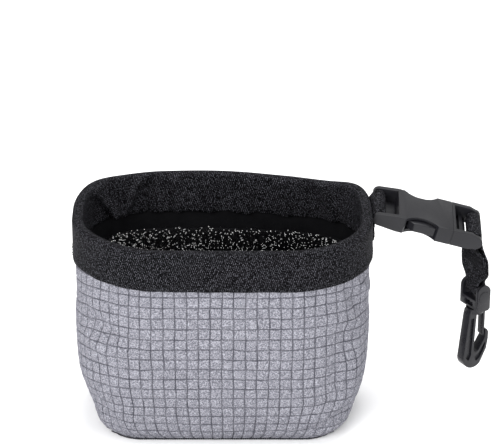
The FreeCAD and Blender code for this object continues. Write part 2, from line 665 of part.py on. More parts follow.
def hook_outline():
    """J of the hook: collar, shank down the left, round bow, and a nose that the gate closes on."""
    diagonal = "Sizes.bow_radius * cos(45)"
    return [
        hook_point("neck", -1),
        hook_point("shoulder", -1),
        ("-Sizes.bow_x - Sizes.bow_radius", "-Sizes.bow_z", "Sizes.bow_radius"),
        ("-Sizes.bow_x", "-Sizes.bow_z - Sizes.bow_radius", "Sizes.bow_radius"),
        (f"-Sizes.bow_x + {diagonal}", f"-Sizes.bow_z - {diagonal}"),
        *map(hook_point, ("nose_low", "nose_wide", "nose_high", "nose_tip", "seat_top", "seat_low")),
        (*hook_point("gap_floor"), "-Sizes.gap_end_radius"),
        hook_point("shank_low", -1),
        hook_point("shank_top", -1),
        ("Sizes.shank_top_right", "-Sizes.collar_bottom"),
        hook_point("collar_edge"),
        hook_point("neck"),
    ]


def make_hook():
    body = doc.addObject("PartDesign::Body", "Hook")
    pad(body, outline_sketch(body, "XZ_Plane", "hook_outline", hook_outline()), "2 * Sizes.hook_half_thick")
    grooves = {
        "shank": [hook_point(f"rib_{letter}", -1) for letter in "abcde"],
        "nose": [hook_point("scoop_a"), hook_point("scoop_b", -1)]
                + [hook_point(f"scoop_{letter}") for letter in "cdefg"],
    }
    for name, corners in grooves.items():
        pocket(body, outline_sketch(body, "XZ_Plane", f"{name}_groove", corners), "4 * Sizes.hook_half_thick")
        pad(body, outline_sketch(body, "XZ_Plane", f"{name}_core", corners), "2 * Sizes.groove_core")
    upright_cylinder(body, "Additive", "collar", "Sizes.collar_radius",
                     "-Sizes.collar_bottom", "-Sizes.collar_top")
    upright_cylinder(body, "Additive", "post", "Sizes.post_radius", "-Sizes.collar_bottom", "-Sizes.post_top")
    upright_cylinder(body, "Additive", "post_head", "Sizes.post_head_radius",
                     "-Sizes.chamber_bottom + Sizes.post_play", "-Sizes.post_top")
    body.Placement = hook_placement()
    keep(body, "hook_body")


def make_gate():
    """Spring leaf that hangs from the collar and closes on the inside of the nose."""
    body = doc.addObject("PartDesign::Body", "Gate")
    inner = "Sizes.gate_pivot_x - Sizes.gate_half_thick"
    outer = "Sizes.gate_pivot_x + Sizes.gate_half_thick"
    view = [
        (outer, "-Sizes.gate_pivot_z", "Sizes.gate_half_thick"),
        ("Sizes.gate_pivot_x", "-Sizes.gate_pivot_z + Sizes.gate_half_thick", "Sizes.gate_half_thick"),
        (inner, "-Sizes.gate_pivot_z"),
        (inner, "-Sizes.gate_end + Sizes.gate_chamfer"),
        (f"{inner} + Sizes.gate_chamfer", "-Sizes.gate_end"),
        (outer, "-Sizes.gate_end"),
    ]
    pad(body, outline_sketch(body, "XZ_Plane", "gate_view", view), "2 * Sizes.gate_half_width")
    body.Placement = hook_placement()
    keep(body, "hook_gate")


# Whole part --------------------------------------------------------------------------------------------

def check_document():
    for item in doc.Objects:
        if "Invalid" in item.State or "Error" in item.State:
            raise RuntimeError(f"{item.Label}: {item.State}")
    for label, item in nodes.items():
        if item.Shape.isNull() or not item.Shape.isValid() or item.Shape.Volume <= 0:
            raise RuntimeError(f"{label} has no valid shape")


def export_pieces():
    os.makedirs("parts", exist_ok=True)
    for label, item in nodes.items():
        item.Shape.exportStep(f"parts/{label}.step")
        box = item.Shape.BoundBox
        print(f"{label:20} {len(item.Shape.Solids)} solid(s) {item.Shape.Volume:10.1f} mm3",
              [round(value, 1) for value in (box.XMin, box.XMax, box.YMin, box.YMax, box.ZMin, box.ZMax)])


fill_sheet()
make_pouch()
make_binding()
make_side_seams()
make_tab()
make_socket()
make_plug()
make_prong("buckle_prong_near", -1)
make_prong("buckle_prong_far", 1)
make_strap()
make_yoke()
make_hook()
make_gate()
doc.recompute()
check_document()
export_pieces()
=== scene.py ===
import math

import bmesh
import bpy
import numpy as np
from mathutils import Matrix, Vector


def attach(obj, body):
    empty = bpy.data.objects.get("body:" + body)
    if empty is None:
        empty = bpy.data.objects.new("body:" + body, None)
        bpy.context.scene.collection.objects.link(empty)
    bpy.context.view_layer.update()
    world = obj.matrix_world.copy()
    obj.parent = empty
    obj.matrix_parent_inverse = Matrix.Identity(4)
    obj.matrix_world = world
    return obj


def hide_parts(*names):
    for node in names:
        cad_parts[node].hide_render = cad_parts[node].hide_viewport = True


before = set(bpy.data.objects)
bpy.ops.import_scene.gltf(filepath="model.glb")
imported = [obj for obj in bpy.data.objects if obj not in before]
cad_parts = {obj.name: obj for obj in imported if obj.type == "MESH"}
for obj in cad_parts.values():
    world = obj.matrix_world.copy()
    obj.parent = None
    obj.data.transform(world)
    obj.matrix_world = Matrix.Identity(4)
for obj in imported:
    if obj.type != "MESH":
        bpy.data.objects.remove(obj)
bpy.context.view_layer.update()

# Looks of the club cleaning pouch, built round its CAD frame. Lengths are in millimetres in this
# script, in the frame's own axes, and become metres when a mesh is made. Camera, lights and floor
# are in metres. A share is a place along something, from 0 to 1.
MM = 0.001

# The pouch's outline by height, as in the CAD model: height, half width, half depth, corner radius.
PROFILE = np.array([
    (0, 54, 30.5, 16),
    (4, 59.5, 34.5, 20),
    (12, 64.5, 38, 25),
    (24, 67.8, 41, 31),
    (45, 69, 43.5, 36),
    (77, 69, 44.3, 38),
    (86, 69, 44.6, 38.8),
    (104, 69, 45, 40),
    (110, 69, 45, 40),
])
WALL_HALF_WIDE, WALL_HALF_DEEP = 69, 43
WALL_ROUND = 388          # length of the wall round the pouch, for cloth coordinates
GRID_ROUND = 390          # the same for the fleece's grid, which lies a little looser
RIM_TOP = 105.2

# Layers of the wall, as distances in from the outline, with the heights of liner and brush.
FLEECE_FACE = 0.75
FLEECE_BACK = 1.9
LINER_AT, LINER_THICK = 2.05, 0.8
LINER_LOW, LINER_TOP, LINER_FLOOR = 4, 103, 3.2
MAT_AT, MAT_THICK = 2.9, 1.2
BRISTLE_AT, BRISTLE_LONG = 4.1, 6.4
BRUSH_LOW, BRUSH_TOP = 12.0, 78.5

# Binding: where it starts and folds, its thickness, its outer face, and its stitches.
BAND_LOW, BAND_FOLD = 86.0, 103.4
BAND_THICK = 1.15
BAND_FACE = -1.2
BAND_STITCH_AT = 88.4
BAND_STITCHES = 130

# Fleece grid: cells across one panel, and from the base seam to the hidden top edge.
CELLS_ROUND, CELLS_HIGH = 36, 19
FLEECE_FOOT, FLEECE_TOP = 0.25, 98.0
CELL_LIFT, PILLOW, GROOVE_DEPTH = 0.30, 0.14, 0.40
BASE_CELL, BASE_THICK = 5.4, 1.9

# Buckle and hook frames, as in the CAD model.
SLOPE, ROLL, YAW = math.radians(15), math.radians(8), math.radians(32)
SOCKET_BAR = Vector((74, 10, 103.5))
EYE = Vector((121.2, 10, 60.3))
PLUG_BAR = 47.2           # from the socket's bar to the plug's
BUCKLE_TURN = Matrix.Rotation(SLOPE, 3, "Y") @ Matrix.Rotation(ROLL, 3, "X")
HOOK_TURN = Matrix.Rotation(YAW, 3, "Z")
WEB_THICK = 1.2
LOOP_HALF, LOOP_PINCH = 9.5, 4.6      # the loop's half width, and how much narrower it ends
LOOP_STEPS = 40
LOOP_SLACK = 1.3                      # how loosely the loop starts off the plug's bar
BAR_TURN, EYE_TURN = 2.4, 2.3         # radii at which webbing goes round the plug's bar and the eye's
TAB_TURN = 2.4                        # and round the socket's bar
TAB_LOW, TAB_HIGH, TAB_FRONT, TAB_BACK = 89.8, 102.5, 0.2, 19.8
TAB_ROWS_SEWN = (91.0, 92.4, 96.2, 97.6)
TACK_FROM, TACK_LONG, TACK_WIDE = 0.40, 0.20, 0.8    # shares of the drop and of the half width

# Thread: radii of the rows, and the share of each stitch's pitch that its thread shows.
FINE_THREAD, SIDE_ROW_THREAD, TACK_THREAD, ROLL_THREAD, NOTCH_THREAD = 0.2, 0.22, 0.24, 0.3, 0.34
STITCH_FILL = 0.72

# Moulded edges: bevel widths, and the angles that count as flat, as an edge, and as a sharp edge.
BUCKLE_EDGE, HOOK_EDGE = 0.35, 0.25
FLAT_ANGLE, EDGE_ANGLE, SHARP_ANGLE = math.radians(2), math.radians(28), math.radians(40)

# Linear colours, dark then light where a material mixes two. The light colours of the webbing and the
# bristles are painted highlights.
FLEECE_SHADES = (0.20, 0.20, 0.228), (0.325, 0.325, 0.363)
FLEECE_FLECK = (0.10, 0.10, 0.118)
# Dark of the groove lines: partly the thinner pile there, partly painted shade.
FLEECE_LINE_AND_SHADE = (0.035, 0.035, 0.045)
# The webbing's light colour is a painted highlight for the glints off its weave.
WEB_AND_PAINTED_GLINT = (0.0008, 0.0008, 0.0012), (0.12, 0.12, 0.138)
LINER_SHADES = (0.0015, 0.0015, 0.002), (0.006, 0.006, 0.007)
MAT_SHADES = (0.002, 0.002, 0.003), (0.01, 0.01, 0.011)
# The bristles' light colour is a painted highlight: white tips that stand in for light catching the filament
# ends.
NYLON_AND_PAINTED_GLINT = (0.003, 0.003, 0.004), (1.0, 1.0, 1.0)
PLASTIC_SHADES = (0.004, 0.004, 0.0055), (0.010, 0.010, 0.0125)
BLACK_THREAD = (0.002, 0.002, 0.003), (0.014, 0.014, 0.016)
SIDE_THREAD = (0.05, 0.05, 0.06), (0.16, 0.16, 0.18)
BASE_THREAD = (0.015, 0.015, 0.018), (0.05, 0.05, 0.06)
FLOOR_SHADE = (0.92, 0.92, 0.925)

# Camera and lights, in metres and watts. A light's row: place, aim, size, power.
CAMERA_AIM = Vector((0.0109, 0, 0.0996))
CAMERA_RISE = math.radians(25)
CAMERA_AWAY = 1.10
SENSOR_WIDE, VIEW_WIDE = 36, 0.230
SKY_STRENGTH = 0.80
LIGHTS = {
    "key": ((-0.45, -0.95, 0.6), (0, 0, 0.05), (0.9, 0.7), 14),
    "fill": ((0.9, -0.6, 0.4), (0.02, 0, 0.05), (0.7, 0.6), 5),
    "top": ((0.1, 0.1, 1.1), (0, 0, 0.05), (0.5, 0.5), 9),
    "rim": ((0.35, 0.45, 0.7), (0.06, 0, 0.09), (0.2, 0.2), 0.2),
    "low": ((-0.9, -0.5, 0.12), (-0.03, 0, 0.04), (0.5, 0.3), 3),
}
FLOOR_REACH = 4.0


# Meshes ----------------------------------------------------------------------------------------------

def new_object(name, data):
    """Object of this data, in the scene."""
    item = bpy.data.objects.new(name, data)
    bpy.context.scene.collection.objects.link(item)
    return item


def add_piece(name, points, faces, material, uv=None, body="pouch", node=None, tones=None):
    """Makes one visible piece from points in millimetres, and says what it rides on and replaces."""
    mesh = bpy.data.meshes.new(name)
    mesh.from_pydata((np.asarray(points) * MM).tolist(), [], [tuple(map(int, f)) for f in faces])
    if uv is not None:
        layer = mesh.uv_layers.new(name="cloth")
        corner = np.empty(len(mesh.loops), dtype=np.int32)
        mesh.loops.foreach_get("vertex_index", corner)
        layer.data.foreach_set("uv", np.asarray(uv, dtype=np.float32)[corner].ravel())
    if tones is not None:
        for key, values in tones.items():
            attribute = mesh.attributes.new(key, "FLOAT", "POINT")
            attribute.data.foreach_set("value", np.asarray(values, dtype=np.float32))
    mesh.materials.append(material)
    mesh.polygons.foreach_set("use_smooth", [True] * len(mesh.polygons))
    mesh.update()
    piece = new_object(name, mesh)
    fix_normals(mesh)
    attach(piece, body)
    if node:
        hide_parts(*([node] if isinstance(node, str) else node))
    return piece


def fix_normals(mesh):
    """Turns every face outwards."""
    work = bmesh.new()
    work.from_mesh(mesh)
    bmesh.ops.recalc_face_normals(work, faces=work.faces)
    work.to_mesh(mesh)
    work.free()


def grid_faces(rows, columns, wrap_rows=False, wrap_columns=False, start=0):
    """Quads of a grid of points stored row by row."""
    row = np.arange(rows if wrap_rows else rows - 1)
    column = np.arange(columns if wrap_columns else columns - 1)
    r, c = np.meshgrid(row, column, indexing="ij")
    r2, c2 = (r + 1) % rows, (c + 1) % columns
    quads = np.stack([r * columns + c, r * columns + c2, r2 * columns + c2, r2 * columns + c], -1)
    return quads.reshape(-1, 4) + start


def sheet_faces(rows, columns):
    """Faces of a closed sheet whose points are one grid and then a second behind it."""
    count = rows * columns
    border = np.concatenate([
        np.arange(columns), np.arange(1, rows) * columns + columns - 1,
        (rows - 1) * columns + np.arange(columns - 2, -1, -1), np.arange(rows - 2, 0, -1) * columns,
    ])
    after = np.roll(border, -1)
    return np.concatenate([
        grid_faces(rows, columns), grid_faces(rows, columns, start=count)[:, ::-1],
        np.stack([border, border + count, after + count, after], -1),
    ])


def smooth_step(value, low, high):
    """0 below low, 1 above high, and an even S between them."""
    share = np.clip((np.asarray(value, dtype=float) - low) / (high - low), 0, 1)
    return share * share * (3 - 2 * share)


# Pouch surface ---------------------------------------------------------------------------------------

def profile_at(height):
    """Half width, half depth and corner radius at any height, on a smooth curve through the profile."""
    knots = PROFILE[:, 0]
    slopes = np.gradient(PROFILE[:, 1:], knots, axis=0)
    height = np.atleast_1d(np.asarray(height, dtype=float))
    index = np.clip(np.searchsorted(knots, height, side="right") - 1, 0, len(knots) - 2)
    span = knots[index + 1] - knots[index]
    t = ((height - knots[index]) / span)[:, None]
    span = span[:, None]
    start, end = PROFILE[index, 1:], PROFILE[index + 1, 1:]
    return (
        (2 * t**3 - 3 * t**2 + 1) * start + (t**3 - 2 * t**2 + t) * span * slopes[index]
        + (3 * t**2 - 2 * t**3) * end + (t**3 - t**2) * span * slopes[index + 1]
    )


def outline(share, height, inset):
    """Points on the rounded outline. A share of 0 is the right seam, 0.25 the back, 0.5 the left seam."""
    share, height, inset = np.broadcast_arrays(share, height, inset)
    shape = share.shape
    share, height, inset = share.ravel() % 1.0, height.ravel(), inset.ravel()
    half_width, half_depth, corner = profile_at(height).T
    run_x, run_y = half_width - corner, half_depth - corner
    quarter_turn = corner * math.pi / 2
    quarter_length = run_x + run_y + quarter_turn
    quarter = np.floor(share * 4).astype(int)
    along = (share * 4 - quarter) * quarter_length
    along = np.where(quarter % 2 == 1, quarter_length - along, along)
    turned = np.clip((along - run_y) / corner, 0, math.pi / 2)
    side_y = np.minimum(along, run_y)
    past = np.maximum(along - run_y - quarter_turn, 0)
    radius = corner - inset
    x = run_x + radius * np.cos(turned) - past
    y = np.where(along < run_y, side_y, run_y + radius * np.sin(turned))
    sign_x = np.where((quarter == 0) | (quarter == 3), 1.0, -1.0)
    sign_y = np.where(quarter < 2, 1.0, -1.0)
    return np.stack([x * sign_x, y * sign_y, height], -1).reshape(shape + (3,))


# Gentle pushes that every cloth layer of the pouch follows: centre, reach and push, in millimetres.
PUSHES = [
    ((42, 44, 104), (26, 30, 40), (0, -2.4, -1.3)),      # the back of the rim falls away to the right
    ((-10, 46, 105), (34, 30, 30), (0, 1.0, 0.8)),       # and stands a little taller left of the middle
    ((-60, 26, 104), (16, 16, 30), (-0.6, 3.6, 1.1)),    # the rim's back corners are squarer
    ((64, 22, 104), (15, 17, 22), (0.3, 5.4, 1.3)),
    ((-58, -34, 100), (26, 24, 30), (1.0, 1.5, 0.4)),    # and its front left corner is rounder
    ((8, -46, 58), (40, 30, 30), (0, -1.6, 0)),          # front and back swell below the binding
    ((10, 46, 50), (44, 30, 40), (0, 2.0, 0)),
    ((62, -26, 44), (18, 24, 26), (1.6, 1.5, 0)),        # and so do the right and left walls
    ((-70, -8, 42), (16, 34, 24), (-0.8, 0, 0)),
    ((-66, -14, 12), (18, 30, 16), (2.4, 2.0, 0)),       # the lower corners are flattened
    ((66, -14, 14), (18, 30, 16), (-1.8, 1.0, 0)),
]


def sway(points):
    """Applies the pushes, which fade out towards the base so that it stays flat."""
    moved = points.copy()
    free = smooth_step(points[..., 2], 0, 14)[..., None]
    for centre, reach, push in PUSHES:
        offset = (points - np.array(centre)) / np.array(reach)
        weight = np.exp(-np.sum(offset**2, -1))
        moved += weight[..., None] * np.array(push) * free
    return moved


def outward(points):
    """Unit normals of a grid of surface points, away from the pouch's middle."""
    across = np.gradient(points, axis=1)
    upward = np.gradient(points, axis=0)
    normal = np.cross(across, upward)
    normal /= np.linalg.norm(normal, axis=-1, keepdims=True) + 1e-12
    facing = np.sum(normal[..., :2] * points[..., :2], -1)
    return normal * np.where(facing.sum() < 0, -1, 1)


# Creases of the fleece: ends as x and z, then width, depth and whether they lie on the front.
CREASES = [
    ((-66, 70), (-40, 55), 2.6, -1.5, True),
    ((-68, 60), (-48, 44), 2.4, 1.0, True),
    ((56, 84), (66, 62), 1.8, -1.6, True),
    ((62, 82), (69, 70), 1.4, 1.3, True),
    ((48, 70), (68, 58), 2.2, 1.0, True),
    ((56, 62), (50, 18), 3.2, -1.4, True),
    ((64, 56), (60, 20), 2.6, 1.2, True),
    ((36, 6), (62, 16), 2.4, -1.9, True),
    ((40, 12), (60, 24), 2.8, 1.3, True),
    ((-62, 24), (-44, 2), 3.0, -1.6, True),
    ((-12, 80), (-18, 50), 4.5, 0.5, True),
    ((20, 78), (24, 30), 5.0, -0.5, True),
    ((-30, 76), (-38, 40), 3.0, -1.2, False),
    ((10, 70), (2, 30), 4.0, 1.0, False),
    ((52, 74), (60, 34), 3.0, -1.4, False),
    ((-60, 50), (-50, 12), 3.0, 1.2, False),
]


def line_share(points, start, end):
    """Seen from the front: how far along a line each point lies, 0 to 1, and its distance from it."""
    start, end = np.array(start, float), np.array(end, float)
    line = end - start
    offset = points[..., [0, 2]] - start
    share = np.clip(offset @ line / (line @ line), 0, 1)
    return share, np.linalg.norm(offset - share[..., None] * line, axis=-1)


def crease_depth(points):
    """How far the creases push each point of the fleece out or in."""
    overlap = 4           # how far past the middle plane a crease may reach
    depth = np.zeros(points.shape[:-1])
    for start, end, width, amount, front in CREASES:
        share, gap = line_share(points, start, end)
        side = points[..., 1] < overlap if front else points[..., 1] > -overlap
        fade = np.sin(np.clip(share, 0.04, 0.96) * math.pi) ** 0.6
        depth += amount * fade * np.exp(-(gap / width) ** 2) * side
    return depth


def soft_noise(points, scale, seed):
    """Smooth bumps from a few sine waves in seeded directions, about -1 to 1."""
    count = 7
    waves = np.random.default_rng(seed)
    total = np.zeros(points.shape[:-1])
    for _ in range(count):
        direction = waves.normal(size=3)
        direction /= np.linalg.norm(direction)
        length = scale * waves.uniform(0.7, 1.5)
        total += np.sin(points @ direction * 2 * math.pi / length + waves.uniform(0, 6.3))
    return total / (count / 2)


# Fleece ----------------------------------------------------------------------------------------------

# Mesh lines within one cell, and half the width of a groove, as shares of a cell.
CELL_STEPS = np.array([0, 0.06, 0.16, 0.38, 0.62, 0.84, 0.94])
GROOVE_HALF = 0.06

# Places where the grid kinks: centre, reach, then how far it is pulled sideways and up.
KINKS = [
    ((-60, -22, 58), (10, 22, 14), 2.4, 0.8),
    ((62, -22, 62), (10, 24, 18), 2.2, -1.5),
    ((52, -34, 20), (14, 20, 12), 1.8, 1.5),
    ((-46, -34, 18), (18, 20, 14), 0.9, 0.5),
]


def cell_lines(cells):
    """Positions, in cells, of grid lines that crowd together at each groove."""
    return np.append((np.arange(cells)[:, None] + CELL_STEPS).ravel(), cells)


def groove(cell_position):
    """1 in the middle of a groove, 0 on a cell's top."""
    gap = np.abs(cell_position - np.round(cell_position))
    return np.exp(-(gap / GROOVE_HALF) ** 2)


def drift(share, height):
    """Lets the grid droop towards the sides, wander a little everywhere and kink in four places."""
    side_droop, droop_change = 6.0, 2.2
    rest = outline(share, height, FLEECE_FACE)
    free = smooth_step(height, 0, 8)
    pull = 0.22 * soft_noise(rest, 9, 41) + 0.3 * soft_noise(rest, 38, 43)
    lift = 0.2 * soft_noise(rest, 9, 47) + 0.3 * soft_noise(rest, 42, 53)
    for centre, reach, sideways, upward in KINKS:
        offset = (rest - np.array(centre)) / np.array(reach)
        weight = np.exp(-np.sum(offset**2, -1))
        pull = pull + sideways * weight * np.sin(offset[..., 2] * 3)
        lift = lift + upward * weight
    at_side = 1 - np.minimum(np.abs(rest[..., 1]) / WALL_HALF_DEEP, 1)
    droop = at_side * (side_droop - droop_change * rest[..., 0] / WALL_HALF_WIDE)
    droop = droop * smooth_step(height, 0, 28)
    return share + free * pull / GRID_ROUND, height + free * lift - droop


def fleece_panel(name, node, first_share, material):
    """One panel of grid fleece from seam to seam, outside and inside, closed at its edges."""
    columns = cell_lines(CELLS_ROUND)
    rows = cell_lines(CELLS_HIGH)
    share = first_share + columns / CELLS_ROUND / 2
    height = FLEECE_FOOT + FLEECE_TOP * wall_heights(rows / CELLS_HIGH)
    share, height = np.meshgrid(share, height)
    column, row = np.meshgrid(columns, rows)
    share, height = drift(share, height)
    middle = sway(outline(share, height, FLEECE_FACE))
    depth = np.maximum(groove(column), groove(row))
    pillow = PILLOW * np.cos((column % 1 - 0.5) * 2.2) * np.cos((row % 1 - 0.5) * 2.2)
    relief = CELL_LIFT + pillow - GROOVE_DEPTH * depth + 0.07 * soft_noise(middle, 2.1, 5)
    relief += crease_depth(middle) + 0.35 * soft_noise(middle, 34, 11)
    edge = smooth_step(height, 0, 3) * (1 - smooth_step(height, BAND_LOW - 1, BAND_LOW + 1))
    seam = smooth_step(np.minimum(column, CELLS_ROUND - column), 0, 0.5)
    relief = relief * edge * (0.3 + 0.7 * seam) - 0.5 * (1 - seam)
    normal = outward(middle)
    outside = middle + normal * relief[..., None]
    outside[..., 2] = np.maximum(outside[..., 2], 0.05)
    inside = sway(outline(share, height, FLEECE_BACK))
    points = np.concatenate([outside.reshape(-1, 3), inside.reshape(-1, 3)])
    uv = np.stack([column, row], -1).reshape(-1, 2)
    add_piece(name, points, sheet_faces(*outside.shape[:2]), material, np.concatenate([uv, uv]), node=node)


def wall_heights(share):
    """Heights, as a share of the wall, that space the rows evenly along the sloping wall."""
    heights = np.linspace(0, FLEECE_TOP, 400)
    side = profile_at(heights)[:, :2].mean(axis=1)
    length = np.concatenate([[0], np.cumsum(np.hypot(np.diff(heights), np.diff(side)))])
    return np.interp(np.asarray(share) * length[-1], length, heights) / heights[-1]


def base_panel(material):
    """Bottom panel, with the same grid, drawn from its middle out to the seam."""
    rings = np.linspace(0, 1, 60) ** 0.9
    share = np.linspace(0, 1, 240, endpoint=False)
    edge = outline(share, 0.0, 1.2)[:, :2]
    points = rings[1:, None, None] * edge[None]
    grid = points / BASE_CELL
    depth = np.maximum(groove(grid[..., 0]), groove(grid[..., 1]))
    curl = smooth_step(np.broadcast_to(rings[1:, None], depth.shape), 0.9, 1.0)
    low = 0.02 + 0.5 * depth + 0.3 * curl
    under = np.concatenate([points, low[..., None]], -1).reshape(-1, 3)
    top = under.copy()
    top[:, 2] = BASE_THICK
    centre = np.array([[0, 0, 0.05], [0, 0, BASE_THICK]])
    lines, posts = points.shape[:2]
    count = lines * posts
    turn = np.arange(posts)
    following = (turn + 1) % posts
    faces = grid_faces(lines, posts, wrap_columns=True).tolist()
    faces += (grid_faces(lines, posts, wrap_columns=True, start=count)[:, ::-1]).tolist()
    rim = (lines - 1) * posts
    faces += np.stack([rim + turn, rim + count + turn, rim + count + following, rim + following], -1).tolist()
    faces += np.stack([np.full(posts, 2 * count), following, turn], -1).tolist()
    faces += np.stack([np.full(posts, 2 * count + 1), count + turn, count + following], -1).tolist()
    uv = np.concatenate([grid.reshape(-1, 2), grid.reshape(-1, 2), np.zeros((2, 2))])
    add_piece("base_fleece", np.concatenate([under, top, centre]), faces, material, uv,
              node="shell_base")


# Materials -------------------------------------------------------------------------------------------

class Shader:
    """Small helper that makes and joins the nodes of one material."""

    def __init__(self, name, roughness, **values):
        self.material = bpy.data.materials.new(name)
        self.material.use_nodes = True
        self.tree = self.material.node_tree
        self.surface = self.tree.nodes["Principled BSDF"]
        self.surface.inputs["Roughness"].default_value = roughness
        for key, value in values.items():
            self.surface.inputs[key.replace("_", " ")].default_value = value

    def node(self, kind, **values):
        """A new node with some of its properties set."""
        item = self.tree.nodes.new(kind)
        for key, value in values.items():
            setattr(item, key, value)
        return item

    def link(self, source, target):
        self.tree.links.new(source, target)

    def math(self, operation, *values):
        """One math node, fed with numbers or other nodes' outputs."""
        item = self.node("ShaderNodeMath", operation=operation)
        for socket, value in zip(item.inputs, values):
            if isinstance(value, (int, float)):
                socket.default_value = value
            else:
                self.link(value, socket)
        return item.outputs[0]

    def position(self):
        return self.node("ShaderNodeTexCoord").outputs["Object"]

    def cloth(self):
        """The two cloth coordinates that the mesh carries."""
        layer = self.node("ShaderNodeUVMap", uv_map="cloth")
        parts = self.node("ShaderNodeSeparateXYZ")
        self.link(layer.outputs[0], parts.inputs[0])
        return parts.outputs[0], parts.outputs[1]

    def noise(self, scale, detail, roughness=0.6):
        """Noise in the object's own space, with its scale in waves per metre."""
        item = self.node("ShaderNodeTexNoise")
        item.inputs["Scale"].default_value = scale
        item.inputs["Detail"].default_value = detail
        item.inputs["Roughness"].default_value = roughness
        self.link(self.position(), item.inputs["Vector"])
        return item.outputs["Fac"]

    def mix(self, factor, first, second):
        """First colour where the factor is 0, second where it is 1."""
        item = self.node("ShaderNodeMix", data_type="RGBA")
        self.link(factor, item.inputs["Factor"])
        for socket, value in ((item.inputs[6], first), (item.inputs[7], second)):
            if isinstance(value, tuple):
                socket.default_value = (*value, 1)
            else:
                self.link(value, socket)
        return item.outputs[2]

    def spread(self, value, low, high, to_low=0.0, to_high=1.0):
        """Stretches the part of a value between low and high over a new range, and clamps it."""
        item = self.node("ShaderNodeMapRange")
        self.link(value, item.inputs["Value"])
        for key, number in (("From Min", low), ("From Max", high), ("To Min", to_low), ("To Max", to_high)):
            item.inputs[key].default_value = number
        return item.outputs[0]

    def colour(self, value):
        if isinstance(value, tuple):
            self.surface.inputs["Base Color"].default_value = (*value, 1)
        else:
            self.link(value, self.surface.inputs["Base Color"])

    def bump(self, height, distance, strength, before=None):
        """Bump of a distance in millimetres, over an earlier one if there is one."""
        item = self.node("ShaderNodeBump")
        item.inputs["Strength"].default_value = strength
        item.inputs["Distance"].default_value = distance * MM
        self.link(height, item.inputs["Height"])
        if before is not None:
            self.link(before, item.inputs["Normal"])
        self.link(item.outputs[0], self.surface.inputs["Normal"])
        return item.outputs[0]

    def line_gap(self, coordinate):
        """Distance to the nearest whole number, from 0 on a line to 0.5 between lines."""
        return self.math("ABSOLUTE", self.math("SUBTRACT", coordinate, self.math("ROUND", coordinate)))


def fleece_material():
    """Brushed fleece, flecked, with a darker line in each groove of the grid, partly the thinner pile there
    and partly painted shade, stronger in some places than others.
    """
    shader = Shader("grid_fleece", 0.95, Specular_IOR_Level=0.1)
    across, up = shader.cloth()
    fray = shader.spread(shader.noise(1300, 2), 0.25, 0.75, -0.035, 0.035)
    gap = shader.math("ADD", shader.math("MINIMUM", shader.line_gap(across), shader.line_gap(up)), fray)
    # The groove line is partly the thinner pile and partly painted shade in the groove; noise makes it darker
    # in some places than others.
    line_strength = shader.spread(shader.noise(110, 2), 0.3, 0.7, 0.45, 0.95)
    line = shader.math("MULTIPLY", shader.spread(gap, 0.03, 0.085, 1.0, 0.0), line_strength)
    mottled = shader.mix(shader.spread(shader.noise(760, 3), 0.32, 0.68), *FLEECE_SHADES)
    fibres = shader.mix(shader.spread(shader.noise(1700, 2), 0.40, 0.60), FLEECE_FLECK, mottled)
    shader.colour(shader.mix(line, fibres, FLEECE_LINE_AND_SHADE))
    fuzz = shader.bump(shader.noise(1700, 3, 0.75), 0.4, 0.7)
    shader.bump(shader.noise(650, 3), 0.3, 0.35, fuzz)
    return shader.material


def webbing_material(name, rib, pick):
    """Woven webbing: warp ribs across the first coordinate and weft picks up the second, with painted
    highlights, bright specks on the raised weave.
    """
    shader = Shader(name, 0.7, Specular_IOR_Level=0.04)
    across, up = shader.cloth()
    sway_by = shader.spread(shader.noise(90, 2), 0.2, 0.8, -0.25, 0.25)
    slanted = shader.math("ADD", shader.math("MULTIPLY_ADD", up, 0.45, across), sway_by)
    ribs = shader.math("SINE", shader.math("MULTIPLY", slanted, 2 * math.pi / rib))
    picks = shader.math("SINE", shader.math("MULTIPLY", up, 2 * math.pi / pick))
    weave = shader.math("MULTIPLY", ribs, picks)
    # Painted highlight: bright specks where the weave rises, standing in for light glinting off the fibres.
    glint_spots = shader.spread(shader.noise(1600, 1), 0.44, 0.68)
    painted_glint = shader.math("MULTIPLY", shader.spread(weave, -0.1, 0.8), glint_spots)
    shader.colour(shader.mix(painted_glint, *WEB_AND_PAINTED_GLINT))
    first = shader.bump(weave, 0.12, 0.7)
    shader.bump(shader.noise(900, 3), 0.15, 0.25, first)
    return shader.material


def liner_material():
    """Smooth coated cloth with soft dents."""
    shader = Shader("coated_liner", 0.5, Specular_IOR_Level=0.1)
    shader.colour(shader.mix(shader.noise(160, 3), *LINER_SHADES))
    first = shader.bump(shader.noise(120, 4), 0.8, 0.4)
    shader.bump(shader.noise(2200, 2), 0.06, 0.3, first)
    return shader.material


def mat_material():
    """Coarse backing of the brush mats."""
    shader = Shader("mat_backing", 0.9, Specular_IOR_Level=0.1)
    shader.colour(shader.mix(shader.noise(900, 3), *MAT_SHADES))
    shader.bump(shader.noise(1200, 2), 0.25, 0.5)
    return shader.material


def bristle_material():
    """Black nylon filaments; about half of them have a white tip, a painted highlight for light catching the
    filament ends.
    """
    shader = Shader("nylon_bristles", 0.3, Specular_IOR_Level=0.3)
    tip = shader.node("ShaderNodeAttribute", attribute_name="tip").outputs["Fac"]
    glint_pick = shader.node("ShaderNodeAttribute", attribute_name="glint_pick").outputs["Fac"]
    # Painted highlight: white near the tip of a randomly picked half of the bristles.
    painted_tip_glint = shader.math("MULTIPLY", shader.spread(tip, 0.8, 0.86), shader.spread(glint_pick, 0.44, 0.52))
    shader.colour(shader.mix(painted_tip_glint, *NYLON_AND_PAINTED_GLINT))
    shader.bump(shader.noise(3000, 1), 0.03, 0.2)
    return shader.material


